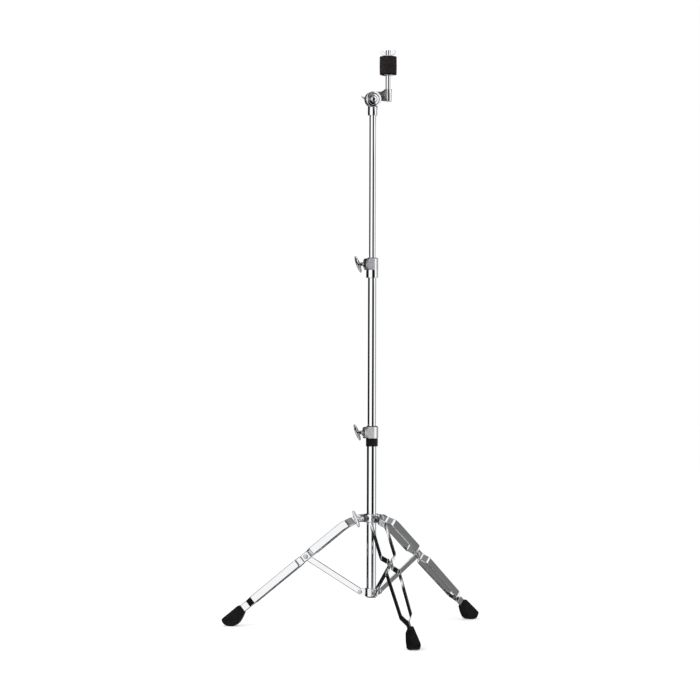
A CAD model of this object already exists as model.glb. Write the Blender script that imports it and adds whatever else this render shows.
"""Straight cymbal stand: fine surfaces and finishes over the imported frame, in metres."""

import math

import bpy
import numpy as np
from mathutils import Matrix, Vector


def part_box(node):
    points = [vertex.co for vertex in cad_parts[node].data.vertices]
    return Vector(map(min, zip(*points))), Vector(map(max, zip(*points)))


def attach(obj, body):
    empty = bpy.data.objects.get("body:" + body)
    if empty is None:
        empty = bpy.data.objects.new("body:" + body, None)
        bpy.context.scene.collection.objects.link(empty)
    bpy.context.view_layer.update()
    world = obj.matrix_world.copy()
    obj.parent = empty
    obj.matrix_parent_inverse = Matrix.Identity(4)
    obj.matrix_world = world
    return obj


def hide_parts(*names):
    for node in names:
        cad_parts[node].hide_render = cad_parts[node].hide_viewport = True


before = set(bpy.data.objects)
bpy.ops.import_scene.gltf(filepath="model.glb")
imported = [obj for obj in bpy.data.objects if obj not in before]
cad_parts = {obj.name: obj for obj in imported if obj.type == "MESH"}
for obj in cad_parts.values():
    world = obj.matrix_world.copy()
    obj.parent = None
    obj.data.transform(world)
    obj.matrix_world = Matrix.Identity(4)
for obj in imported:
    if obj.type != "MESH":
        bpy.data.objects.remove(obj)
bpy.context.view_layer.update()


# Places read from the frame, in millimetres
def span(node):
    """Lowest and highest corner of a CAD node, in millimetres."""
    low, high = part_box(node)
    return np.array(low) * 1000, np.array(high) * 1000


def height(node):
    """Lowest and highest z of a CAD node, in millimetres."""
    low, high = span(node)
    return low[2], high[2]


POLE = (span("base_tube")[0] + span("base_tube")[1]) / 2 * [1, 1, 0]
BASE_LOW, BASE_HIGH = height("base_tube")
MIDDLE_LOW, MIDDLE_HIGH = height("middle_tube")
UPPER_LOW, UPPER_HIGH = height("upper_tube")
HUB = sum(height("tilter_nut")) / 2
LOWER_CLAMP = height("lower_clamp")[0]
UPPER_CLAMP_TOP = height("upper_clamp")[1]
COLLAR_LOW, COLLAR_HIGH = height("leg_collar")

# Sizes of the real pieces in millimetres, and angles in radians
FIT = 0.3
BASE_RADIUS = 12.7
MIDDLE_RADIUS = 11.1
UPPER_RADIUS = 8.75
WALL = 1.2
CLAMP_HEIGHT = 29
CLAMP_WALL = 4.5
EAR_REACH = 10.8
EAR_HALF = 6.5
BOLT_REACH = 5.3
EAR_ANGLE = math.radians(210)
WING_TILT = math.radians(-27)
LEG_ANGLES = {"left": math.radians(150), "right": math.radians(30), "front": math.radians(270)}
SLOPE = math.radians(39.3)
LEG_REACH = 398
WAIST_REACH = 173.0
BEND_REACH = 71
WAIST = np.array([WAIST_REACH, 0.0, (LEG_REACH - WAIST_REACH) * math.tan(SLOPE)])
TOP_PIVOT = np.array([35.0, 0.0, (LEG_REACH - 35) * math.tan(SLOPE) - 12.1])
BRACE_PIVOT = np.array([29.0, 0.0, 99.0])
SOLE_REACH = 373
STRIP_HALF = 10
STRIP_THICKNESS = 2.5
STRIP_END = (LEG_REACH - WAIST_REACH) / math.cos(SLOPE) - 34.8
BRACE_HALF = 8.25
BRACE_THICKNESS = 3.0
WAIST_HALF = BRACE_THICKNESS / 2 + FIT + STRIP_THICKNESS / 2
LUG_HALF = 5
LUG_ROUND = 9
COLLAR_WALL = 6.5
COLLAR_RIM = 3.2
BRACE_EAR_ROUND = 7
BRACE_EAR_THICKNESS = 2.5
BRACE_EAR_FACE = BRACE_THICKNESS / 2 + FIT
WING_HALF_SPAN = 23
WING_HALF_WIDTH = 6.5
WING_HALF_THICKNESS = 3.5
DISC_RADIUS = 19.8
NECK_RADIUS = 12.8
ROD_OFFSET = 40
ROD_SHOULDER = 64.8
FELT_BORE = 5.9
FELT_RIM = 21.6
FELT_SEAM = 22.0
NUT_TURN = math.radians(-30)


# Points, turns and closed skins
def turn(axis, angle):
    """Rotation about X, Y or Z as a 3 x 3 array."""
    return np.array(Matrix.Rotation(angle, 3, axis))


def put(rows, *steps):
    """Points carried through each step in turn: a 3 x 3 array turns them and three numbers shift them."""
    rows = np.asarray(rows, float)
    for step in steps:
        step = np.asarray(step, float)
        rows = rows @ step.T if step.ndim == 2 else rows + step
    return rows


def fillet(points, radius, steps=4, closed=True):
    """Each corner P of a line becomes (1-t)^2 A + 2t(1-t) P + t^2 B, where A and B lie on the sides
    that meet in P, at the radius from it or just under half way along."""
    p = np.asarray(points, float)
    reach = np.broadcast_to(np.asarray(radius, float).reshape(-1, 1), (len(p), 1))

    def towards(q):
        side = q - p
        length = np.maximum(np.linalg.norm(side, axis=1, keepdims=True), 1e-9)
        return p + side / length * np.minimum(reach, 0.48 * length)

    a, b = towards(np.roll(p, 1, axis=0)), towards(np.roll(p, -1, axis=0))
    if not closed:
        a[[0, -1]] = b[[0, -1]] = p[[0, -1]]
    t = np.linspace(0, 1, steps)[None, :, None]
    return ((1 - t) ** 2 * a[:, None] + 2 * t * (1 - t) * p[:, None] + t ** 2 * b[:, None]).reshape(-1, 2)


def skin(rows, loop=False, flat=None):
    """Closed surface through rows of rings. The last row meets the first in a loop, or else a fan about
    each end ring's middle closes it. Its faces are turned so that the volume inside is positive."""
    rows = np.asarray(rows, float)
    n, m = rows.shape[:2]
    flat = np.zeros_like(rows) if flat is None else np.asarray(flat, float)
    i = np.arange(n if loop else n - 1)[:, None]
    j = np.arange(m)[None, :]
    k, below = (j + 1) % m, (i + 1) % n
    quads = np.stack([i * m + j, i * m + k, below * m + k, below * m + j], -1).reshape(-1, 4)
    verts, marks = rows.reshape(-1, 3), flat.reshape(-1, 3)
    tris = np.zeros((0, 3), int)
    if not loop:
        verts = np.vstack([verts, rows[0].mean(0), rows[-1].mean(0)])
        marks = np.vstack([marks, flat[0].mean(0), flat[-1].mean(0)])
        j, k = np.arange(m), (np.arange(m) + 1) % m
        first = np.stack([k, j, np.full(m, n * m)], -1)
        last = np.stack([(n - 1) * m + j, (n - 1) * m + k, np.full(m, n * m + 1)], -1)
        tris = np.vstack([first, last])
    p = verts[np.vstack([quads[:, [0, 1, 2]], quads[:, [0, 2, 3]], tris])]
    if np.einsum("ij,ij->i", p[:, 0], np.cross(p[:, 1], p[:, 2])).sum() < 0:
        quads, tris = quads[:, ::-1], tris[:, ::-1]
    return verts, quads, tris, marks


def lathe(profile, columns=96, wave=None):
    """Rows of circles: the point (r cos a, r sin a, h) for each radius r and height h of the profile.
    A wave, which is the lift of each row and a number of teeth, adds lift x a triangle wave to the height."""
    r, h = np.asarray(profile, float).T
    a = np.linspace(0, 2 * math.pi, columns, endpoint=False)
    rows = np.stack([np.outer(r, np.cos(a)), np.outer(r, np.sin(a)), np.repeat(h[:, None], columns, 1)], -1)
    if wave is not None:
        lift, teeth = wave
        beat = np.abs((a * teeth / (2 * math.pi)) % 1 * 2 - 1)
        rows[..., 2] += np.outer(lift, beat)
    return rows


def ring(outer, inner, low, high, edge=0.6, columns=96):
    """A ring with rounded edges, as a closed loop of circles."""
    corners = [[inner, low], [outer, low], [outer, high], [inner, high]]
    return skin(lathe(fillet(corners, edge), columns), loop=True)


def disc(radius, low, high, edge=0.6, columns=72):
    """A round bar with rounded ends."""
    profile = fillet([[radius * 0.02, low], [radius, low], [radius, high], [radius * 0.02, high]], edge,
                     closed=False)
    return lathe(profile, columns)


def plate(outline, low, high, edge, steps=5):
    """An outline raised from low to high. Near both faces it is drawn in by edge (1 - sin a) at the height
    edge (1 - cos a), so that its edges are round."""
    p = np.asarray(outline, float)
    q = np.roll(p, -1, axis=0)
    if (p[:, 0] * q[:, 1] - q[:, 0] * p[:, 1]).sum() < 0:
        p = p[::-1]
    along = np.roll(p, -1, axis=0) - np.roll(p, 1, axis=0)
    out = np.stack([along[:, 1], -along[:, 0]], -1) / np.maximum(np.linalg.norm(along, axis=1), 1e-9)[:, None]
    a = np.linspace(0, math.pi / 2, steps)
    draw = edge * (1 - np.sin(a))
    rise = edge * (1 - np.cos(a))
    draw = np.concatenate([draw, draw[::-1]])
    level = np.concatenate([low + rise, high - rise[::-1]])
    flat = p[None] - out[None] * draw[:, None, None]
    return np.concatenate([flat, np.broadcast_to(level[:, None, None], flat.shape[:2] + (1,))], -1)


def moved(part, *steps):
    """A skin whose points are carried through the steps."""
    verts, quads, tris, marks = part
    return put(verts, *steps), quads, tris, marks


def piece(name, skins, material, body, nodes, sharp=38):
    """One mesh of closed skins, whose points are in millimetres from the pole's foot."""
    verts, marks, faces, start = [], [], [], 0
    for part_verts, quads, tris, part_marks in skins:
        verts.append(part_verts)
        marks.append(part_marks)
        faces += (quads + start).tolist() + (tris + start).tolist()
        start += len(part_verts)
    mesh = bpy.data.meshes.new(name)
    mesh.from_pydata(((np.vstack(verts) + POLE) / 1000).tolist(), [], faces)
    mesh.attributes.new("flat", "FLOAT_VECTOR", "POINT").data.foreach_set("vector", np.vstack(marks).ravel())
    mesh.polygons.foreach_set("use_smooth", np.ones(len(faces), bool))
    mesh.set_sharp_from_angle(angle=math.radians(sharp))
    mesh.materials.append(material)
    mesh.update()
    made = bpy.data.objects.new(name, mesh)
    bpy.context.scene.collection.objects.link(made)
    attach(made, body)
    if nodes:
        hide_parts(*nodes)
    return made


# Materials
def colour(code):
    """An sRGB hex value such as 0xd8dadd as linear red, green, blue and alpha."""
    parts = np.array([code >> 16 & 255, code >> 8 & 255, code & 255]) / 255
    linear = np.where(parts <= 0.04045, parts / 12.92, ((parts + 0.055) / 1.055) ** 2.4)
    return (*linear.tolist(), 1.0)


def add(tree, kind, inputs=None, **settings):
    """Adds a node with its settings. An input is a value, or another node's output to link."""
    node = tree.nodes.new("ShaderNode" + kind)
    for key, value in settings.items():
        setattr(node, key, value)
    for key, value in (inputs or {}).items():
        if isinstance(value, bpy.types.NodeSocket):
            tree.links.new(value, node.inputs[key])
        else:
            node.inputs[key].default_value = value
    return node


def start(name):
    """A new material and its empty node tree."""
    material = bpy.data.materials.new(name)
    material.use_nodes = True
    tree = material.node_tree
    tree.nodes.clear()
    return material, tree


def finish(material, tree, inputs):
    """Ends the tree with a principled shader that has these inputs."""
    shader = add(tree, "BsdfPrincipled", inputs)
    add(tree, "OutputMaterial", {"Surface": shader.outputs["BSDF"]})
    return material


# The grained face of a clamp: its bearing round the pole, where it has its full tone, and where it ends
FACE_BEARING = math.radians(-120)
FACE_FULL = 0.6
FACE_END = 0.69


def chrome_plate(name, code, rough, spread, wave_mm, wave_height, grain=None, face=None):
    """Bright chrome: the roughness drifts a little from place to place, and a shallow waviness of the given
    size bends the reflections. With a grain, fine lines run along the piece. With a face, the side of a clamp
    within 37 degrees of the bearing 240 round the pole has its own tone, more haze and a pebbled relief."""
    material, tree = start(name)
    place = add(tree, "TexCoord").outputs["Object"]
    cloud = add(tree, "TexNoise", {"Vector": place, "Scale": 1000 / 9, "Detail": 3.0, "Roughness": 0.6})
    gloss = add(tree, "MapRange", {"Value": cloud.outputs["Fac"], "From Min": 0.35, "From Max": 0.7,
                                   "To Min": rough, "To Max": rough + spread})
    swell = add(tree, "TexNoise", {"Vector": place, "Scale": 1000 / wave_mm, "Detail": 2.0})
    relief = swell.outputs["Fac"]
    if grain is not None:
        flat = add(tree, "Attribute", attribute_name="flat").outputs["Vector"]
        drawn = add(tree, "Mapping", {"Vector": flat, "Scale": (0.02, 1.0, 1.0)}).outputs["Vector"]
        lines = add(tree, "TexNoise", {"Vector": drawn, "Scale": 1 / grain, "Detail": 4.0, "Roughness": 0.7})
        relief = add(tree, "Math", {0: relief, 1: lines.outputs["Fac"]}, operation="ADD").outputs[0]
    tone, haze = colour(code), gloss.outputs["Result"]
    if face is not None:
        face_code, face_haze, face_depth = face
        spot = add(tree, "SeparateXYZ", {"Vector": place})
        out = add(tree, "Math", {0: spot.outputs["Y"], 1: POLE[1] / 1000}, operation="SUBTRACT")
        bearing = add(tree, "Math", {0: out.outputs[0], 1: spot.outputs["X"]}, operation="ARCTAN2")
        past = add(tree, "Math", {0: bearing.outputs[0], 1: FACE_BEARING}, operation="SUBTRACT")
        off = add(tree, "Math", {0: past.outputs[0]}, operation="ABSOLUTE")
        side = add(tree, "MapRange", {"Value": off.outputs[0], "From Min": FACE_END, "From Max": FACE_FULL})
        inside = side.outputs["Result"]
        tone = add(tree, "Mix", {0: inside, 6: tone, 7: colour(face_code)}, data_type="RGBA").outputs[2]
        haze = add(tree, "Math", {0: inside, 1: face_haze, 2: haze}, operation="MULTIPLY_ADD").outputs[0]
        pebbles = add(tree, "TexNoise", {"Vector": place, "Scale": 1000 / 2.6, "Detail": 2.0})
        raised = add(tree, "Math", {0: pebbles.outputs["Fac"], 1: inside}, operation="MULTIPLY")
        relief = add(tree, "Math", {0: raised.outputs[0], 1: face_depth / wave_height, 2: relief},
                     operation="MULTIPLY_ADD").outputs[0]
    bump = add(tree, "Bump", {"Height": relief, "Strength": 1.0, "Distance": wave_height / 1000})
    return finish(material, tree, {"Base Color": tone, "Metallic": 1.0, "Roughness": haze,
                                   "Normal": bump.outputs["Normal"]})


# Chrome plated drawn tube: mirror bright, with hard edged reflections and hardly any haze
tube_chrome = chrome_plate("chrome_plated_steel_tube", 0xF2F3F5, 0.02, 0.02, 60, 0.01)
# Chrome plated strip, rolled and pressed: bright, softened by fine lines along the strip
strip_chrome = chrome_plate("chrome_plated_rolled_strip", 0xE9EAEC, 0.05, 0.06, 14, 0.03, grain=0.9)
# Chrome plated zinc casting: bright, over a skin that is hardly wavy, so the black and white stay apart
cast_chrome = chrome_plate("chrome_plated_zinc_casting", 0xE6E7EA, 0.05, 0.05, 5, 0.05)
# Chrome plated zinc lugs of the leg collar, less polished: wavy and darker, so they look mottled
collar_chrome = chrome_plate("chrome_plated_collar_casting", 0x8E8C8F, 0.08, 0.08, 3.5, 0.14)
# Chrome plated wings: the smoothest castings, white in the middle with a thin dark line round them
wing_chrome = chrome_plate("chrome_plated_wing", 0xECEDEF, 0.04, 0.04, 9, 0.03)
# The upper clamp, chrome plated zinc: its front face is grained satin, mid grey beside the bright rest
upper_chrome = chrome_plate("chrome_plated_casting_grained_face", 0xE6E7EA, 0.05, 0.05, 5, 0.05,
                            face=(0xC2C2C8, 0.25, 0.25))
# The lower clamp, chrome plated zinc: its front face is pebbled too, but stays nearly white
lower_chrome = chrome_plate("chrome_plated_casting_pebbled_face", 0xE6E7EA, 0.05, 0.05, 5, 0.05,
                            face=(0xFCFCFD, 0.3, 0.3))
# Chrome plated turned cones of the tilter's face: bright, a little hazier than the tubes
turned_chrome = chrome_plate("chrome_plated_turned_face", 0xF0F0F2, 0.1, 0.04, 8, 0.02)
# The tilter's cast arm: the same plating over a coarser as-cast skin, so it looks grey and grainy
arm_chrome = chrome_plate("chrome_plated_rough_casting", 0xC9CACD, 0.2, 0.15, 2.4, 0.4)
# Zinc plated steel of pins, rivets and washers: greyer and duller than the chrome beside it
zinc_steel = chrome_plate("zinc_plated_steel", 0xC2C5C8, 0.22, 0.12, 4, 0.03)
# Browned screw ends: almost black, dull metal
dark_steel = chrome_plate("browned_steel_screw_end", 0x2A2A2C, 0.45, 0.2, 1.5, 0.05)


def moulded(name, code, worn, rough, shine, grain_mm, grain_height):
    """A moulded black surface: a fine grain in its relief, and a dusty lighter tone on part of it."""
    material, tree = start(name)
    place = add(tree, "TexCoord").outputs["Object"]
    patches = add(tree, "TexNoise", {"Vector": place, "Scale": 1000 / 12, "Detail": 5.0, "Roughness": 0.65})
    dust = add(tree, "MapRange", {"Value": patches.outputs["Fac"], "From Min": 0.4, "From Max": 0.75})
    tone = add(tree, "Mix", {0: dust.outputs["Result"], 6: colour(code), 7: colour(worn)}, data_type="RGBA")
    gloss = add(tree, "MapRange", {"Value": dust.outputs["Result"], "To Min": rough, "To Max": rough + 0.15})
    grit = add(tree, "TexNoise", {"Vector": place, "Scale": 1000 / grain_mm, "Detail": 3.0, "Roughness": 0.7})
    bump = add(tree, "Bump", {"Height": grit.outputs["Fac"], "Distance": grain_height / 1000})
    return finish(material, tree, {"Base Color": tone.outputs[2], "Roughness": gloss.outputs["Result"],
                                   "IOR": 1.5, "Specular IOR Level": shine,
                                   "Normal": bump.outputs["Normal"]})


# Moulded black rubber: matte, faintly grained, a little grey with dust
rubber = moulded("moulded_black_rubber", 0x0A0A0A, 0x1C1B1A, 0.55, 0.12, 1.6, 0.3)
# Black nylon: deep black with a soft satin shine
nylon = moulded("moulded_black_nylon", 0x070708, 0x121214, 0.35, 0.2, 2.5, 0.06)


def pressed_felt(name):
    """Pressed wool: clumps of short fibres in two sizes, darker between the clumps and along the two outer
    rims, where the wool is pressed hardest. Real fibres are 0.03 mm thick and would not show, so the clumps
    are drawn 1 to 4 mm wide."""
    material, tree = start(name)
    place = add(tree, "TexCoord").outputs["Object"]
    stretched = add(tree, "Mapping", {"Vector": place, "Scale": (1.0, 1.0, 0.55)}).outputs["Vector"]
    clumps = add(tree, "TexNoise", {"Vector": stretched, "Scale": 1000 / 4, "Detail": 8.0, "Roughness": 0.75,
                                    "Distortion": 0.9})
    fibres = add(tree, "TexWave", {"Vector": stretched, "Scale": 1000 / 6, "Distortion": 14.0, "Detail": 5.0,
                                   "Detail Scale": 2.5, "Detail Roughness": 0.7})
    mixed = add(tree, "Math", {0: clumps.outputs["Fac"], 1: fibres.outputs["Fac"]}, operation="MULTIPLY")
    level = add(tree, "MapRange", {"Value": mixed.outputs[0], "From Min": 0.1, "From Max": 0.55})
    tone = add(tree, "Mix", {0: level.outputs["Result"], 6: colour(0x120E0E), 7: colour(0x3B3231)},
               data_type="RGBA")
    spot = add(tree, "SeparateXYZ", {"Vector": place})
    foot, top = height("lower_felt")[0], height("upper_felt")[1]
    middle, half = (foot + top) / 2000, (top - foot) / 2000
    past = add(tree, "Math", {0: spot.outputs["Z"], 1: middle}, operation="SUBTRACT")
    off = add(tree, "Math", {0: past.outputs[0]}, operation="ABSOLUTE")
    rim = add(tree, "MapRange", {"Value": off.outputs[0], "From Min": half - 0.0035,
                                 "From Max": half - 0.0012})
    tone = add(tree, "Mix", {0: rim.outputs["Result"], 6: tone.outputs[2], 7: colour(0x060505)},
               data_type="RGBA")
    bump = add(tree, "Bump", {"Height": mixed.outputs[0], "Distance": 0.0009})
    return finish(material, tree, {"Base Color": tone.outputs[2], "Roughness": 0.95,
                                   "Specular IOR Level": 0.15, "Sheen Weight": 0.12, "Sheen Roughness": 0.5,
                                   "Sheen Tint": colour(0x8A8688), "Normal": bump.outputs["Normal"]})


# Black pressed wool felt: lightless, with short lighter fibres at its surface
wool_felt = pressed_felt("black_pressed_wool_felt")


# Pole
def tube(name, radius, low, high, body):
    """A drawn tube of the pole, open at both ends."""
    wall = ring(radius, radius - WALL, low, high, 0.35, 128)
    piece(name + "_drawn", [wall], tube_chrome, body, [name])


tube("base_tube", BASE_RADIUS, BASE_LOW, BASE_HIGH, "base")
tube("middle_tube", MIDDLE_RADIUS, MIDDLE_LOW, MIDDLE_HIGH, "middle_pole")
tube("upper_tube", UPPER_RADIUS, UPPER_LOW, UPPER_HIGH, "upper_pole")
plug_low, plug_high = height("base_end_plug")
plug_profile = fillet([[0.3, plug_low], [BASE_RADIUS, plug_low], [BASE_RADIUS, BASE_LOW - FIT],
                       [BASE_RADIUS - WALL - FIT, BASE_LOW - FIT], [BASE_RADIUS - WALL - FIT, plug_high],
                       [0.3, plug_high]], 0.7, closed=False)
piece("base_end_plug_moulded", [skin(lathe(plug_profile))], nylon, "base", ["base_end_plug"])


# Split clamps
def split_casting(bore, radius):
    """A sleeve with two ears along +X, split between them. Each section runs from a point on the bore to one
    on the outline, and its four corners are rounded. Ears lose height as a circle of the ear's radius."""
    end, slot, ear_round = radius + EAR_REACH, 1.0, 9.0
    touch = math.atan2(EAR_HALF, end) + math.acos(radius / math.hypot(end, EAR_HALF))
    arc = np.linspace(touch, 2 * math.pi - touch, 90)
    tangent = np.array([math.cos(touch), math.sin(touch)]) * radius
    side = np.linspace([end, EAR_HALF], tangent, 22)[1:-1]
    face = np.linspace([end, slot], [end, EAR_HALF - 1.4], 6)
    corner = fillet([[end, 0], [end, EAR_HALF], tangent], 1.4, 6, closed=False)[6:12]
    half = np.vstack([face, corner, side[3:]])
    outer = np.vstack([half, np.stack([np.cos(arc), np.sin(arc)], -1) * radius, (half * [1, -1])[::-1]])
    angle = np.unwrap(np.arctan2(outer[:, 1], outer[:, 0]))
    small = math.asin(slot / bore)
    inner_angle = small + (angle - angle[0]) * (2 * math.pi - 2 * small) / (angle[-1] - angle[0])
    inner = np.stack([np.cos(inner_angle), np.sin(inner_angle)], -1) * bore
    length = np.linalg.norm(outer - inner, axis=1)
    edge = 0.7
    a = np.linspace(0, math.pi / 2, 4)
    draw = edge * (1 - np.sin(a))
    rise = edge * (1 - np.cos(a))
    across = np.linspace(0, 1, 12)[1:-1]

    def line(share, lift):
        return np.stack(np.broadcast_arrays(share, lift), -1)

    per_mm = 1 / length[:, None]
    bore_foot = line(rise * per_mm, draw)
    floor_line = line(edge * per_mm + across * (1 - 2 * edge * per_mm), 0.0)
    wall_foot = line(1 - draw * per_mm, rise)
    lower = np.concatenate([bore_foot, floor_line, wall_foot], 1)
    upper = lower[:, ::-1] * [1, -1] + [0, CLAMP_HEIGHT]
    wall = np.linspace(wall_foot[:, -1], upper[:, 0], 8, axis=1)[:, 1:-1]
    section = np.concatenate([lower, wall, upper], 1)
    plan = inner[:, None] + (outer - inner)[:, None] * section[..., :1]
    beyond = np.clip(plan[..., 0] - (end - ear_round), 0, ear_round * 0.999)
    cut = ear_round - np.sqrt(ear_round ** 2 - beyond ** 2)
    z = cut + section[..., 1] * (1 - 2 * cut / CLAMP_HEIGHT)
    return skin(np.concatenate([plan, z[..., None]], -1))


def bolt_seat(radius, z):
    """Raised eye round the bolt's end on the near ear, in the stand's frame."""
    eye = ring(5.0, 3.2, -0.6, 0.7, 0.35, 48)
    return moved(eye, turn("X", -math.pi / 2), [radius + BOLT_REACH, EAR_HALF, 0], turn("Z", EAR_ANGLE),
                 [0, 0, z])


def bush(name, outer, inner, body):
    """Nylon bush: a ring in the clamp, with a rim that rests on the outer tube's end."""
    low, high = height(name)
    profile = fillet([[inner + FIT, low], [outer, low], [outer, high - 1.6], [outer + 1.8, high - 1.6],
                      [outer + 1.8, high], [inner + FIT, high]], 0.3)
    piece(name + "_moulded", [skin(lathe(profile), loop=True)], nylon, body, [name])


def wing_bolt(name, body, steps, shank_radius, shank_length, end_place=None):
    """Wing bolt along X. The wing is an oval leaf: at the share a of its half span its half width and half
    thickness are those at the middle x (1 - a^2)^0.38, dished by 22% of the thickness on each lobe; its cross
    section is the superellipse of power 2.3. The boss is a hollowed cone below it."""
    a = np.sin(np.linspace(-math.pi / 2, math.pi / 2, 61)[1:-1])
    b = np.linspace(0, 2 * math.pi, 40, endpoint=False)
    full = (1 - a ** 2) ** 0.38
    dish = 1 - 0.22 * np.exp(-((np.abs(a) - 0.62) / 0.2) ** 2)
    power = 2 / 2.3
    across = np.sign(np.cos(b)) * np.abs(np.cos(b)) ** power
    through = np.sign(np.sin(b)) * np.abs(np.sin(b)) ** power
    leaf = np.stack([23 + np.outer(WING_HALF_WIDTH * full, across),
                     np.outer(WING_HALF_THICKNESS * full * dish, through),
                     np.repeat(WING_HALF_SPAN * a[:, None], 40, 1)], -1)
    boss = lathe(fillet([[0.3, 0], [6.5, 0], [6.5, 3.4], [5.1, 5.6], [4.5, 12], [4.7, 19], [3.6, 23],
                         [0.3, 24.5]], 1.2, 5, closed=False), 64)
    to_x = turn("Y", math.pi / 2)
    shank = lathe(fillet([[0.1, -shank_length], [shank_radius, -shank_length], [shank_radius, 3], [0.1, 3]],
                         0.5, closed=False), 40)
    parts = [skin(put(leaf, *steps)), skin(put(boss, to_x, *steps)), skin(put(shank, to_x, *steps))]
    piece(name + "_plated", parts, wing_chrome, body, [name])
    if end_place is not None:
        end = disc(3.1, end_place - 0.15, end_place + 0.35, 0.25, 40)
        end = skin(put(end, turn("Y", -math.pi / 2), *steps))
        piece(name + "_end", [end], dark_steel, body, [name])


def clamp_bolt_steps(radius, z):
    """Steps that carry a wing bolt to the near ear of a clamp of this radius."""
    return [turn("X", WING_TILT), turn("Z", -math.pi / 2), [radius + BOLT_REACH, -EAR_HALF - FIT, 0],
            turn("Z", EAR_ANGLE), [0, 0, z]]


lower_radius = BASE_RADIUS + FIT + CLAMP_WALL
lower_middle = LOWER_CLAMP + CLAMP_HEIGHT / 2
lower_casting = moved(split_casting(BASE_RADIUS + FIT, lower_radius), turn("Z", EAR_ANGLE),
                      [0, 0, LOWER_CLAMP])
piece("lower_clamp_casting", [lower_casting, bolt_seat(lower_radius, lower_middle)], lower_chrome, "base",
      ["lower_clamp"])
bush("lower_clamp_bush", BASE_RADIUS, MIDDLE_RADIUS, "lower_bush")
wing_bolt("lower_wing_bolt", "lower_wing_bolt", clamp_bolt_steps(lower_radius, lower_middle), 3, 13,
          end_place=2 * EAR_HALF + FIT)


def fluted_ring(inner, outer, low, high, flutes, depth):
    """Ring whose outside is drawn in by depth x (1 + cos(flutes a)) / 2 and has round rims."""
    profile = fillet([[inner, low], [outer, low], [outer, high], [inner, high]], 1.1, 5)
    profile = np.insert(profile, 10, np.linspace([outer, low + 1.4], [outer, high - 1.4], 8), axis=0)
    rows = lathe(profile, 180)
    a = np.linspace(0, 2 * math.pi, 180, endpoint=False)
    middle = np.sin(np.clip((profile[:, 1] - low) / (high - low), 0, 1) * math.pi) ** 0.6
    outside = (profile[:, 0] > outer - 1.2) * middle
    draw = depth * np.outer(outside, (1 + np.cos(flutes * a)) / 2)
    rows[..., :2] *= 1 - (draw / profile[:, :1])[..., None]
    return skin(rows, loop=True)


ring_low, ring_high = height("lower_clamp_ring")
piece("lower_clamp_ring_moulded", [fluted_ring(BASE_RADIUS + FIT, 15.2, ring_low, ring_high, 10, 0.9)], nylon,
      "base", ["lower_clamp_ring"])

upper_radius = MIDDLE_RADIUS + FIT + CLAMP_WALL
upper_clamp_low = UPPER_CLAMP_TOP - CLAMP_HEIGHT
upper_middle = upper_clamp_low + CLAMP_HEIGHT / 2
upper_casting = moved(split_casting(MIDDLE_RADIUS + FIT, upper_radius), turn("Z", EAR_ANGLE),
                      [0, 0, upper_clamp_low])
piece("upper_clamp_casting", [upper_casting, bolt_seat(upper_radius, upper_middle)], upper_chrome,
      "middle_pole", ["upper_clamp"])
sleeve_low = height("upper_clamp")[0]
piece("upper_clamp_sleeve", [ring(upper_radius, MIDDLE_RADIUS + FIT, sleeve_low, upper_clamp_low + 1, 0.9)],
      tube_chrome, "middle_pole", ["upper_clamp"])
bush("upper_clamp_bush", MIDDLE_RADIUS, UPPER_RADIUS, "upper_bush")
wing_bolt("upper_wing_bolt", "upper_wing_bolt", clamp_bolt_steps(upper_radius, upper_middle), 3, 13,
          end_place=2 * EAR_HALF + FIT)


# Legs
def soften(x, places, values, reach):
    """A line of straight runs through (place, value), averaged over a short stretch to round its bends."""
    shifts = np.linspace(-reach, reach, 9)
    return np.interp(x[..., None] + shifts, places, values).mean(-1)


top_along = put(TOP_PIVOT - WAIST, turn("Y", -SLOPE))
BEND_ALONG = (BEND_REACH - WAIST_REACH) / math.cos(SLOPE)
PINCH_FROM = STRIP_END - 56
PLAN_PLACES = [top_along[0] + 12, top_along[0] + 28, -25.5, -11, 11, 25.5, PINCH_FROM - 22, PINCH_FROM]
PLAN_HALVES = [LUG_HALF + FIT + STRIP_THICKNESS / 2, 18.5, 18.5, WAIST_HALF, WAIST_HALF, 16.5, 13.5, 1.4]


def flat_section(half, thickness, count):
    """Ring of a flat bar's section: places across at the shares of the half width, and long edges that are
    chamfered at 35 degrees and rounded at the tip. Returns the places across, for each half width, and
    through."""
    share = np.linspace(-1, 1, count)
    tall = thickness / 2
    lift = np.array([1, 0.93, 0.3, 0.12, -0.12, -0.3, -0.93, -1]) * tall
    edge = np.array([0, 0.22, 0.88, 1, 1, 0.88, 0.22, 0]) * tall * 1.35
    inner = np.maximum(half - tall * 1.35, 0.02)[:, None]
    ends = inner + edge[None]
    across = np.concatenate([inner * share, ends, inner * share[::-1], -ends], 1)
    face = np.full(count, tall)
    through = np.concatenate([face, lift, -face, -lift])
    return across, np.broadcast_to(through, across.shape)


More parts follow.
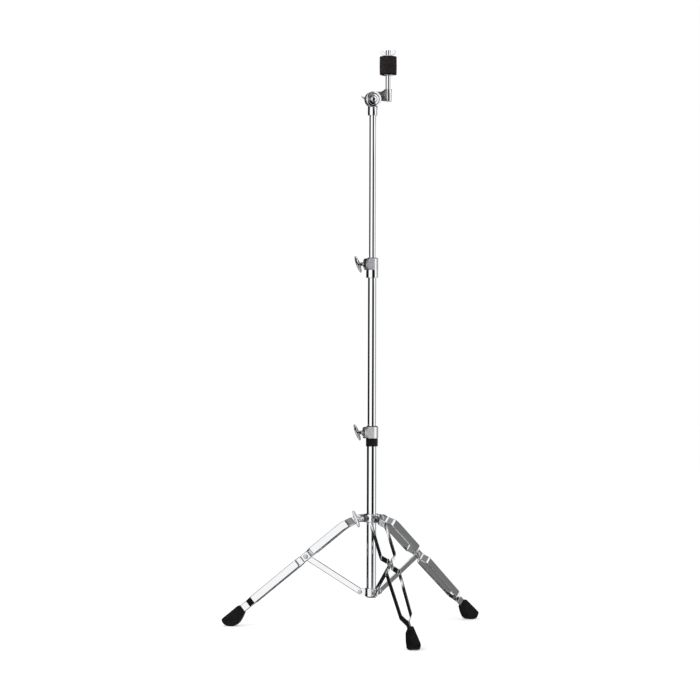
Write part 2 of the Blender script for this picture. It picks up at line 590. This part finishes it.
def leg_strip(side):
    """Strip on edge. Its middle line starts at the top pivot, bends once, and runs straight to the foot; each
    point's distance from the leg's middle plane follows the plan's runs at the same place along. The top end
    is a half circle."""
    bend = np.array([BEND_ALONG, 0.0])
    pivot = top_along[[0, 2]]
    first = bend + (pivot - bend) / np.linalg.norm(pivot - bend) * 13
    last = bend + [13, 0]
    t = np.linspace(0, 1, 12)[:, None]
    curve = (1 - t) ** 2 * first + 2 * t * (1 - t) * bend + t ** 2 * last
    line = np.vstack([pivot, curve, [STRIP_END, 0]])
    gone = np.concatenate([[0], np.cumsum(np.linalg.norm(np.diff(line, axis=0), axis=1))])
    cap = -STRIP_HALF * np.cos(np.linspace(0.06, math.pi / 2, 14))[:-1]
    s = np.concatenate([cap, np.linspace(0, gone[-1], 260)])
    half = np.where(s < 0, np.sqrt(np.maximum(STRIP_HALF ** 2 - s ** 2, 0.01)), STRIP_HALF)
    ahead = (line[1] - line[0]) / np.linalg.norm(line[1] - line[0])
    inside = np.clip(s, 0, None)
    middle = np.stack([np.interp(inside, gone, line[:, 0]), np.interp(inside, gone, line[:, 1])], -1)
    middle += np.clip(s, None, 0)[:, None] * ahead
    along = np.gradient(middle, axis=0)
    along /= np.linalg.norm(along, axis=1, keepdims=True)
    up = np.stack([-along[:, 1], along[:, 0]], -1)
    across, through = flat_section(half, STRIP_THICKNESS, 17)
    x = middle[:, :1] + across * up[:, :1]
    z = middle[:, 1:] + across * up[:, 1:]
    half_gap = soften(x, PLAN_PLACES, PLAN_HALVES, 2.2)
    slant = (soften(x + 0.5, PLAN_PLACES, PLAN_HALVES, 2.2) - soften(x - 0.5, PLAN_PLACES, PLAN_HALVES, 2.2))
    scale = 1 / np.sqrt(1 + slant ** 2)
    rows = np.stack([x - through * slant * scale, side * (half_gap + through * scale), z], -1)
    flat = np.stack([np.broadcast_to(s[:, None], across.shape), across, through], -1)
    return rows, flat


def rivet_head(radius, tall):
    """Low dome over a straight rim. At the share r of the radius its height is
    tall x (0.3 + 0.7 sqrt(1 - r^2))."""
    r = np.sin(np.linspace(math.pi / 2, 0.06, 12))
    rise = 0.3 * tall + 0.7 * tall * np.sqrt(1 - r ** 2)
    dome = np.stack([radius * r, rise], -1)
    return lathe(np.vstack([[[radius * 0.3, 0], [radius, 0]], dome]), 48)


def both_heads(centre, seat, radius, tall, *steps):
    """A pair of rivet heads on an axis along Y, on seats at + and - seat."""
    head = rivet_head(radius, tall)
    near = put(head, turn("X", math.pi / 2), [0, -seat, 0], centre, *steps)
    far = put(head, turn("X", -math.pi / 2), [0, seat, 0], centre, *steps)
    return [skin(near), skin(far)]


def moulded_foot():
    """Rubber boot: its side outline carried across its width, drawn in by a quarter circle of 4.5 mm at both
    sides. At the height share h the half width is 6.5 + 7 (1 - h^1.6) mm, with a rounded lip 1.3 mm proud
    near the sole."""
    corners = [[-10, 0.8], [-3, 0], [7.5, 0], [18.5, 5.2], [24.8, 14.6], [22.3, 19.5], [-18.5, 53.2],
               [-24.5, 53.6], [-37.0, 36.8], [-28.5, 19], [-20.5, 7.4]]
    outline = fillet(corners, [5, 4, 6, 6, 5, 3, 2.4, 2.2, 2.2, 8, 6], 7)
    rows = plate(outline, -15, 15, 4.5, 8)
    rise = np.clip(rows[..., 1] / 54, 0, 1)
    wide = 6.5 + 7 * (1 - rise ** 1.6) + 1.3 * np.exp(-((rows[..., 1] - 3) / 4) ** 2)
    rows[..., 2] *= wide / 15
    return rows[..., [0, 2, 1]]


def sweep_brace():
    """Flat bar from the collar pin to the waist pin with half round ends. Returns it in the leg's plane, and
    laid flat for the finish."""
    span_x, span_z = WAIST[0] - BRACE_PIVOT[0], WAIST[2] - BRACE_PIVOT[2]
    run = math.hypot(span_x, span_z)
    cap = BRACE_HALF * np.cos(np.linspace(0.06, math.pi / 2, 14))
    s = np.concatenate([-cap[:-1], np.linspace(0, run, 90), run + cap[:-1][::-1]])
    over = np.maximum(np.maximum(-s, s - run), 0)
    half = np.sqrt(np.maximum(BRACE_HALF ** 2 - over ** 2, 0.01))
    across, through = flat_section(half, BRACE_THICKNESS, 17)
    rows = np.stack([np.broadcast_to(s[:, None], across.shape), through, across], -1)
    tilt = turn("Y", -math.atan2(span_z, span_x))
    return put(rows, tilt, BRACE_PIVOT), rows


for side, angle in LEG_ANGLES.items():
    leg, line_steps = f"{side}_leg", [turn("Y", SLOPE), WAIST, turn("Z", angle)]
    for letter, sign in (("a", 1), ("b", -1)):
        rows, flat = leg_strip(sign)
        piece(f"{leg}_strip_{letter}_pressed", [skin(put(rows, *line_steps), flat=flat)], strip_chrome, leg,
              [f"{leg}_strip_{letter}"])
    heads = both_heads([0, 0, 0], WAIST_HALF + STRIP_THICKNESS / 2 + FIT, 6, 2.2, *line_steps)
    for letter, head in zip("ba", heads):
        piece(f"{side}_waist_rivet_{letter}_head", [head], zinc_steel, leg, [f"{side}_waist_rivet_{letter}"])
    end_rivet = disc(2.5, -2.6, 2.6, 0.4, 32)
    bar = put(end_rivet, turn("X", math.pi / 2), [STRIP_END - 14, 0, 0], *line_steps)
    piece(f"{side}_foot_rivet_bar", [skin(bar)], zinc_steel, leg, [f"{side}_foot_rivet"])
    boot = put(moulded_foot(), [SOLE_REACH, 0, 0], turn("Z", angle))
    piece(f"{side}_rubber_boot", [skin(boot)], rubber, leg, [f"{side}_rubber_foot"])
    brace_rows, brace_flat = sweep_brace()
    piece(f"{side}_brace_bar", [skin(put(brace_rows, turn("Z", angle)), flat=brace_flat)], strip_chrome,
          f"{side}_brace", [f"{side}_brace"])
    pin = both_heads(TOP_PIVOT, LUG_HALF + 2 * FIT + STRIP_THICKNESS, 6, 2.2, turn("Z", angle))
    piece(f"{side}_leg_top_pin_heads", pin, zinc_steel, "leg_collar", [f"{side}_leg_top_pin"])
    pin = both_heads(BRACE_PIVOT, BRACE_EAR_FACE + BRACE_EAR_THICKNESS + FIT, 5, 1.8, turn("Z", angle))
    piece(f"{side}_brace_pin_heads", pin, zinc_steel, "base", [f"{side}_brace_pin"])


# Collars
def lug(inner, reach, pivot_z, radius, low, high, near, far, edge):
    """Outline as tall as the collar and round about its pivot, carried across from near to far."""
    a = np.linspace(-math.pi / 2, math.pi / 2, 17)
    nose = np.stack([reach + radius * np.cos(a), pivot_z + radius * np.sin(a)], -1)
    outline = np.vstack([[[inner, high], [inner, low]], nose])
    return plate(outline, near, far, edge)[..., [0, 2, 1]]


bore = BASE_RADIUS + FIT
piece("leg_collar_ring", [ring(bore + COLLAR_WALL, bore, COLLAR_LOW, COLLAR_HIGH, COLLAR_RIM)], tube_chrome,
      "leg_collar", ["leg_collar"])
parts = []
for angle in LEG_ANGLES.values():
    rows = lug(bore + 1, TOP_PIVOT[0], TOP_PIVOT[2], LUG_ROUND, COLLAR_LOW, COLLAR_HIGH, -LUG_HALF, LUG_HALF,
               2.6)
    parts.append(skin(put(rows, turn("Z", angle))))
boss_profile = fillet([[3.4, bore + 1], [8.5, bore + 1], [8.5, 28], [3.4, 28]], 1.1, 5)
collar_middle = (COLLAR_LOW + COLLAR_HIGH) / 2
boss = put(lathe(boss_profile, 64), turn("Y", math.pi / 2), turn("Z", EAR_ANGLE), [0, 0, collar_middle])
parts.append(skin(boss, loop=True))
piece("leg_collar_lugs", parts, collar_chrome, "leg_collar", ["leg_collar"])
wing_bolt("leg_collar_wing_bolt", "leg_collar_wing_bolt",
          [turn("X", -WING_TILT), [33, 0, 0], turn("Z", EAR_ANGLE), [0, 0, collar_middle]], 3, 20)

brace_low, brace_high = height("brace_collar")
parts = [ring(bore + 4, bore, brace_low, brace_high, 1.0)]
outer_face = BRACE_EAR_FACE + BRACE_EAR_THICKNESS
for angle in LEG_ANGLES.values():
    for near, far in ((-outer_face, -BRACE_EAR_FACE), (BRACE_EAR_FACE, outer_face)):
        rows = lug(bore + 1, BRACE_PIVOT[0], BRACE_PIVOT[2], BRACE_EAR_ROUND, brace_low, brace_high,
                   near, far, 0.5)
        parts.append(skin(put(rows, turn("Z", angle))))
piece("brace_collar_casting", parts, cast_chrome, "base", ["brace_collar"])
screw = lathe(fillet([[0.3, 14], [2.4, 14], [2.4, 17.3], [4.2, 17.3], [4.2, 19.4], [2.2, 19.8], [2.0, 18.6],
                      [0.3, 18.6]], 0.4, closed=False), 48)
screw = put(screw, turn("X", -math.pi / 2), [0, 0, (brace_low + brace_high) / 2])
piece("brace_collar_screw_head", [skin(screw)], zinc_steel, "base", ["brace_collar_screw"])


# Tilter
def ratchet_disc(front):
    """Disc with 24 radial teeth, 0.9 mm high between the radii 12 and 20 mm, on the face at 1.05 mm, and the
    given profile on the other face."""
    corners = [[4.3, 1.05], [11.6, 1.05], [12.4, 1.05], [19.2, 1.05], [DISC_RADIUS, 1.6]]
    profile = np.vstack([corners, front])
    lift = np.zeros(len(profile))
    lift[2:4] = -0.9
    return lathe(profile, 288, (lift, 24))


to_front = turn("X", math.pi / 2)
to_back = turn("X", -math.pi / 2)
front_profile = fillet([[DISC_RADIUS, 1.7], [DISC_RADIUS, 9.4], [18.9, 9.9], [15.6, 11.05], [14.8, 11.05],
                        [14.3, 9.2], [13.6, 9.2], [9.0, 10.8], [8.5, 10.8], [8.2, 9.3], [4.3, 9.3]],
                       [0.2, 0.4, 0.3, 0.3, 0.3, 0.2, 0.2, 0.3, 0.2, 0.2, 0.1], 4, closed=False)
back_profile = fillet([[DISC_RADIUS, 1.7], [DISC_RADIUS, 11.05], [8, 11.05], [7.6, 10.7], [4.3, 10.7]],
                      [0.2, 1.3, 0.2, 0.2, 0.1], 5, closed=False)
front_disc = put(ratchet_disc(front_profile), to_front, [0, 0, HUB])
back_disc = put(ratchet_disc(back_profile), to_back, [0, 0, HUB])
chord = math.asin(1.2 / NECK_RADIUS)
a = np.linspace(chord, math.pi - chord, 40)
yoke = np.stack([NECK_RADIUS * np.cos(a), NECK_RADIUS * np.sin(a)], -1)
neck_low = height("tilter_neck")[0]
neck_parts = [
    ring(NECK_RADIUS, UPPER_RADIUS + FIT, neck_low, neck_low + 17.3, 0.8),
    skin(disc(NECK_RADIUS, neck_low + 16.8, HUB - 20.1, 1.0, 96)),
    skin(plate(fillet(yoke, 0.4), HUB - 24.5, HUB - 1, 0.5)),
]
piece("tilter_neck_sleeve", neck_parts, tube_chrome, "upper_pole", ["tilter_neck"])
piece("tilter_neck_disc", [skin(back_disc, loop=True)], cast_chrome, "upper_pole", ["tilter_neck"])

web_outline = fillet([[6, -4], [ROD_OFFSET - 3, -4], [ROD_OFFSET - 3, 26.4], [31, 26.4],
                      [DISC_RADIUS, 19.6], [6, 19]], [1, 1, 1, 2.5, 4, 1], 5)
web = put(plate(web_outline, 1.05, 9.05, 1.2), to_front, [0, 0, HUB])
boss = ring(10, 6.8, -4, 27, 1.2)
piece("tilter_arm_web", [skin(web)], arm_chrome, "tilter", ["tilter_arm"])
piece("tilter_arm_disc", [skin(front_disc, loop=True)], turned_chrome, "tilter", ["tilter_arm"])
piece("tilter_arm_boss", [moved(boss, [ROD_OFFSET, 0, HUB])], tube_chrome, "tilter", ["tilter_arm"])
nut_profile = fillet([[4.4, 9.85], [7.6, 9.85], [7.6, 11.6], [6.6, 12.4], [2.7, 13.85], [2.4, 12.2],
                      [0.2, 12.2]], [0.2, 0.3, 0.8, 0.5, 0.3, 0.2, 0.2], 4, closed=False)
piece("tilter_nut_turned", [skin(put(lathe(nut_profile), to_front, [0, 0, HUB]))], turned_chrome, "tilter",
      ["tilter_nut"])
piece("tilter_nut_centre", [skin(put(disc(2.3, 12.1, 12.6, 0.3, 40), to_front, [0, 0, HUB]))], dark_steel,
      "tilter", ["tilter_nut"])
wing_bolt("tilter_wing_bolt", "tilter_wing_bolt",
          [turn("X", math.pi / 2 - WING_TILT), turn("Z", math.pi / 2), [0, 11.35, HUB]], 4, 20.5)


# Cymbal rod and its stack
rod_foot = [ROD_OFFSET, 0, HUB]
rod_top = height("cymbal_rod")[1] - HUB
turns = np.arange(0, 13.5, 0.6)
thread = np.stack([np.where(np.arange(len(turns)) % 2, 3.95, 3.45), rod_top - 14.2 + turns], -1)
rod_profile = np.vstack([
    [[0.3, -2], [5.9, -2], [6.5, -1.4], [6.5, ROD_SHOULDER - 0.9], [5.9, ROD_SHOULDER], [4, ROD_SHOULDER],
     [4, rod_top - 14.6]], thread, [[3.3, rod_top], [0.3, rod_top]]])
piece("cymbal_rod_turned", [skin(put(lathe(rod_profile), rod_foot))], tube_chrome, "tilter", ["cymbal_rod"],
      sharp=28)
washer_low, washer_high = np.array(height("seat_washer")) - HUB
washer = fillet([[4.3, washer_low], [8, washer_low], [15.5, washer_low + 1.2], [15.5, washer_high],
                 [4.3, washer_high]], 0.5)
piece("seat_washer_pressed", [skin(put(lathe(washer), rod_foot), loop=True)], zinc_steel, "tilter",
      ["seat_washer"])
inner_low, inner_high = np.array(height("rod_sleeve")) - HUB
piece("rod_sleeve_moulded", [moved(ring(5.5, 4.3, inner_low, inner_high, 0.3, 64), rod_foot)], nylon,
      "tilter", ["rod_sleeve"])


def felt_ring(low, high, outer_end, seed):
    """Felt ring: the outside swells 0.4 mm from its outer rim to the seam, and waves of seven lengths with
    random phases (fixed by the seed) roughen it by up to 0.3 mm, as pressed and cut wool is."""
    rim, foot = (low, high) if outer_end == "low" else (high, low)
    inward = 1 if outer_end == "low" else -1
    corners = [[FELT_BORE, rim], [FELT_RIM, rim], [FELT_SEAM, foot], [FELT_BORE, foot]]
    profile = fillet(corners, [0.8, 1.5, 0.4, 0.4], 7)
    wall = np.linspace([FELT_RIM + 0.05, rim + 1.8 * inward], [FELT_SEAM - 0.02, foot - 0.6 * inward], 20)
    profile = np.insert(profile, 14, wall, axis=0)
    rows = lathe(profile, 200)
    a = np.linspace(0, 2 * math.pi, 200, endpoint=False)[None, :]
    h = profile[:, 1:2]
    random = np.random.default_rng(seed)
    rough = sum(np.sin(k * a + random.uniform(0, 6.28) + h * random.uniform(0.3, 2.2))
                for k in (3, 7, 13, 23, 37, 53, 71)) / 7
    outside = np.clip((profile[:, :1] - 8) / 8, 0, 1)
    rows[..., :2] *= (1 + 0.009 * (rough - 0.5) * outside)[..., None]
    return skin(put(rows, rod_foot), loop=True)


for name, end, seed in (("lower_felt", "low", 3), ("upper_felt", "high", 8)):
    low, high = np.array(height(name)) - HUB
    felt = piece(name + "_pressed", [felt_ring(low, high, end, seed)], wool_felt, "tilter", [name],
                 sharp=60)

nut_low, nut_high = np.array(height("cymbal_wing_nut")) - HUB
nut_body = fillet([[4.3, nut_low], [8.5, nut_low], [8.5, nut_low + 2.4], [6.6, nut_low + 4], [6.2, nut_high],
                   [4.3, nut_high]], [0.3, 0.6, 0.8, 1.5, 0.7, 0.5], 5)
ear = fillet([[4.8, 2.2], [10, 2.2], [16.2, 4.4], [19.5, 9.4], [19.5, 13.4], [17.6, 15.4], [13.4, 15.4],
              [10.2, 12.0], [7.4, 9.4], [4.8, 9.4]], [0.4, 2, 3, 3, 1.6, 1.4, 1.6, 2, 2, 0.4], 5)
ear_rows = put(plate(ear, -1.8, 1.8, 0.9), turn("X", math.pi / 2), turn("Z", NUT_TURN), [0, 0, nut_low])
piece("cymbal_wing_nut_plated",
      [skin(put(lathe(nut_body, 72), rod_foot), loop=True), skin(put(ear_rows, rod_foot)),
       skin(put(ear_rows, turn("Z", math.pi), rod_foot))],
      wing_chrome, "cymbal_wing_nut", ["cymbal_wing_nut"])


# Studio: a white backdrop and a pale floor. Only reflections see the black flags and white panels round it:
# the walls, the middle ones above them, the high ones overhead and the low ones by the floor
world = bpy.data.worlds.new("studio")
bpy.context.scene.world = world
world.use_nodes = True
sky = world.node_tree
sky.nodes.clear()
ray = add(sky, "LightPath")
way = add(sky, "SeparateXYZ", {"Vector": add(sky, "TexCoord").outputs["Generated"]})
bearing = add(sky, "Math", {0: way.outputs["Y"], 1: way.outputs["X"]}, operation="ARCTAN2")
turns_round = add(sky, "Math", {0: bearing.outputs[0], 1: 1 / (2 * math.pi)}, operation="MULTIPLY")
share = add(sky, "Math", {0: turns_round.outputs[0]}, operation="FRACT")


def panels(changes):
    """Levels of the panels round the stand, from pairs of a bearing in degrees, counted from +X towards +Y,
    and the level after it. The last level runs on through 0."""
    node = add(sky, "ValToRGB", {"Fac": share.outputs[0]})
    ramp = node.color_ramp
    ramp.elements[0].position, ramp.elements[1].position = 0.0, 1.0
    level = changes[-1][1]
    ramp.elements[0].color = ramp.elements[1].color = (level, level, level, 1)
    for degrees, after in changes:
        for place, value in ((degrees - 0.8, level), (degrees + 0.8, after)):
            stop = ramp.elements.new(place / 360)
            stop.color = (value, value, value, 1)
        level = after
    return node.outputs["Color"]


walls = panels([(7, 0.95), (75, 0.01), (183, 1.12), (249, 0.01), (301, 1.12), (339, 0.2)])
middle_panels = panels([(7, 0.04), (183, 1.12), (248, 0.03), (297, 1.12), (345, 0.2)])
high_panels = panels([(7, 0.5), (75, 0.02), (180, 1.1), (246, 0.04), (266, 0.25), (283, 0.3), (294, 1.1),
                      (345, 0.4)])
low_panels = panels([(75, 0.01), (138, 1.1), (153, 0.01), (192, 0.62), (246, 0.08), (330, 0.6)])
up = add(sky, "MapRange", {"Value": way.outputs["Z"], "From Min": 0.42, "From Max": 0.5})
down = add(sky, "MapRange", {"Value": way.outputs["Z"], "From Min": -0.49, "From Max": -0.52})
over = add(sky, "MapRange", {"Value": way.outputs["Z"], "From Min": 0.17, "From Max": 0.2})
seen = add(sky, "Mix", {0: over.outputs["Result"], 6: walls, 7: middle_panels}, data_type="RGBA")
seen = add(sky, "Mix", {0: up.outputs["Result"], 6: seen.outputs[2], 7: high_panels}, data_type="RGBA")
seen = add(sky, "Mix", {0: down.outputs["Result"], 6: seen.outputs[2], 7: low_panels}, data_type="RGBA")
plain = add(sky, "Mix", {0: ray.outputs["Is Camera Ray"], 6: (0.78, 0.78, 0.78, 1), 7: (1, 1, 1, 1)},
            data_type="RGBA")
light = add(sky, "Mix", {0: ray.outputs["Is Glossy Ray"], 6: plain.outputs[2], 7: seen.outputs[2]},
            data_type="RGBA")
back = add(sky, "Background", {"Color": light.outputs[2], "Strength": 1.0})
add(sky, "OutputWorld", {"Surface": back.outputs["Background"]})

softbox = bpy.data.lights.new("softbox", "AREA")
softbox.shape, softbox.size, softbox.size_y, softbox.energy = "RECTANGLE", 2.4, 2.0, 55
lamp = bpy.data.objects.new("softbox", softbox)
bpy.context.scene.collection.objects.link(lamp)
lamp.location = (-2.6, -2.2, 2.9)
lamp.rotation_euler = (Vector((0, 0.1, 0.6)) - lamp.location).to_track_quat("-Z", "Y").to_euler()
lamp.visible_glossy = lamp.visible_camera = False

# Painted pale floor: white where it is lit, with a soft shadow at the feet
FLOOR_HALF = 14
paint, tree = start("pale_matt_floor")
matt = add(tree, "BsdfDiffuse", {"Color": colour(0xF2F2F2)})
own = add(tree, "Emission", {"Color": (1, 1, 1, 1), "Strength": 0.31})
both = add(tree, "AddShader", {0: matt.outputs[0], 1: own.outputs[0]})
add(tree, "OutputMaterial", {"Surface": both.outputs[0]})
floor_mesh = bpy.data.meshes.new("floor")
corners = [(x * FLOOR_HALF, y * FLOOR_HALF, 0) for x, y in ((-1, -1), (1, -1), (1, 1), (-1, 1))]
floor_mesh.from_pydata(corners, [], [(0, 1, 2, 3)])
floor_mesh.materials.append(paint)
floor = bpy.data.objects.new("floor", floor_mesh)
bpy.context.scene.collection.objects.link(floor)
floor.visible_glossy = False

# Camera at the photograph's view: 15 degrees round from the front, level with the middle of the pole,
# with lengths in metres
BEARING = math.radians(255)
DISTANCE = 5.75
SHIFT_LEFT = 0.0563
EYE_LEVEL = 0.7128
ROLL = math.radians(0.17)
away = Vector((math.cos(BEARING), math.sin(BEARING), 0))
right = Vector((-away.y, away.x, 0))
camera = bpy.data.cameras.new("camera")
camera.sensor_width = 36
camera.lens = 116.5
eye = bpy.data.objects.new("camera", camera)
bpy.context.scene.collection.objects.link(eye)
pole_foot = Vector((POLE[0] / 1000, POLE[1] / 1000, 0))
eye.location = pole_foot + away * DISTANCE - right * SHIFT_LEFT + Vector((0, 0, EYE_LEVEL))
level_view = (-away).to_track_quat("-Z", "Y").to_matrix()
eye.rotation_euler = (level_view @ Matrix.Rotation(ROLL, 3, "Z")).to_euler()
bpy.context.scene.camera = eye

bpy.context.scene.view_settings.view_transform = "Standard"
